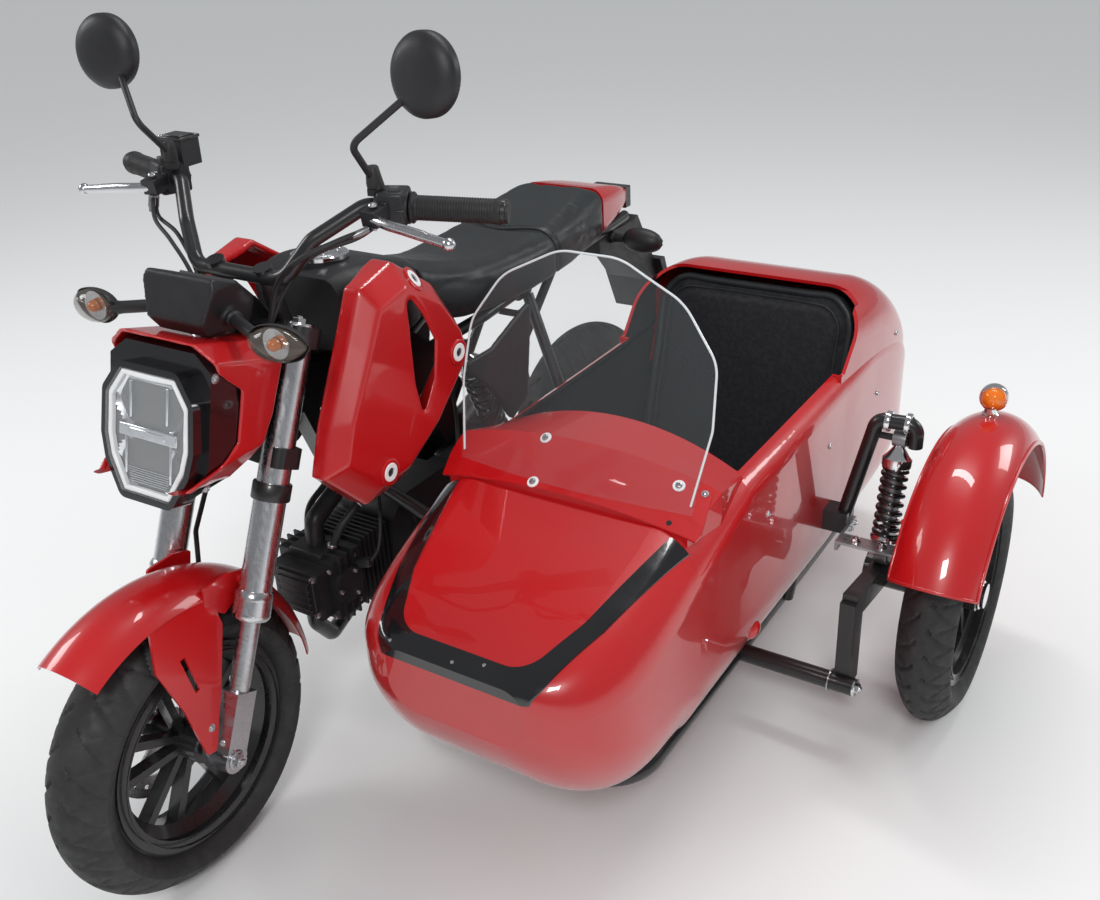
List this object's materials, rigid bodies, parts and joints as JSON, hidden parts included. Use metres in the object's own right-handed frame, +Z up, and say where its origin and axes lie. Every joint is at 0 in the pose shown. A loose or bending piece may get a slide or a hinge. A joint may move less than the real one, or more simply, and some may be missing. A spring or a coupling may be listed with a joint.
{
  "type": "sidecar motorcycle",
  "caption": "Small motorcycle with an open single-seat sidecar on its left: steered front wheel, freely turning wheels, screen, cowl and tubular sidecar chassis",
  "frame": {"origin": "on the floor, under the middle of the whole vehicle's box", "axes": "+X is the vehicle's left (the sidecar's side), the front is -Y, +Z is up"},
  "size_m": [1.3527, 1.7906, 1.233],
  "materials": {
    "red_paint": "glossy, clear coated",
    "red_plastic": "glossy",
    "black_plastic": "satin, fine grain",
    "black_paint": "satin",
    "engine_metal": "satin, dark coated",
    "fork_metal": "brushed",
    "polished": "polished",
    "steel": "ground",
    "wheel_metal": "satin, black coated",
    "tyre": "dull",
    "rubber": "dull",
    "vinyl": "grained",
    "lens_clear": "clear",
    "lens_smoke": "smoked",
    "lens_red": "red",
    "lens_amber": "amber",
    "screen": "clear, polished"
  },
  "bodies": {
    "frame": {"main_frame": "black_paint", "engine_case": "engine_metal", "engine_cylinder": "engine_metal", "exhaust": "black_paint", "tank_cover": "black_plastic", "tank_shrouds": "red_plastic", "inner_panels": "black_plastic", "seat": "vinyl", "tail_cowl": "red_plastic", "side_panels": "black_plastic", "rear_mudguard": "black_plastic", "tail_lamp": "lens_red", "rear_indicators": "lens_smoke", "swing_arm": "black_paint", "rear_shock": "black_paint", "drive_chain": "steel", "foot_pegs": "black_paint", "sidecar_body": "red_paint", "deck_trim": "black_paint", "cowl_sheet": "red_paint", "windscreen": "screen", "sidecar_seat": "vinyl", "sidecar_chassis": "black_paint", "wheel_arm": "black_paint", "wheel_shock": "black_paint", "sidecar_mudguard": "red_paint", "mudguard_lamp": "lens_amber", "guard_tie": "steel"},
    "steering": {"fork_clamps": "black_paint", "fork_tubes": "fork_metal", "fork_legs_and_axle": "steel", "headlamp_shell": "black_plastic", "headlamp_lens": "lens_clear", "headlamp_cowl": "red_plastic", "meter": "black_plastic", "handlebar": "black_paint", "grips": "rubber", "hand_controls": "black_plastic", "mirrors": "black_plastic", "front_indicators": "lens_smoke", "front_mudguard": "red_plastic", "front_brake": "engine_metal"},
    "front_wheel": {"front_rim": "wheel_metal", "front_tyre": "tyre", "front_brake_disc": "steel"},
    "rear_wheel": {"rear_rim": "wheel_metal", "rear_tyre": "tyre", "rear_disc_and_sprocket": "steel"},
    "sidecar_wheel": {"sidecar_rim": "wheel_metal", "sidecar_tyre": "tyre", "sidecar_hub_cap": "polished"}
  },
  "joints": [
    {"name": "steering_turn", "type": "hinge", "parent": "frame", "child": "steering", "pos_m": [-0.31, -0.7407, 0], "axis": [0, 0.4226, 0.9063], "range_deg": [-39.5, 32.5]},
    {"name": "front_wheel_spin", "type": "hinge", "parent": "steering", "child": "front_wheel", "pos_m": [-0.30839, -0.65965, 0.23598], "axis": [0.9981, 0.0553, -0.0258], "continuous": true},
    {"name": "rear_wheel_spin", "type": "hinge", "parent": "frame", "child": "rear_wheel", "pos_m": [-0.31, 0.5403, 0.243], "axis": [1, 0, 0], "continuous": true},
    {"name": "sidecar_wheel_spin", "type": "hinge", "parent": "frame", "child": "sidecar_wheel", "pos_m": [0.595, 0.2853, 0.236], "axis": [1, 0, 0], "continuous": true}
  ]
}
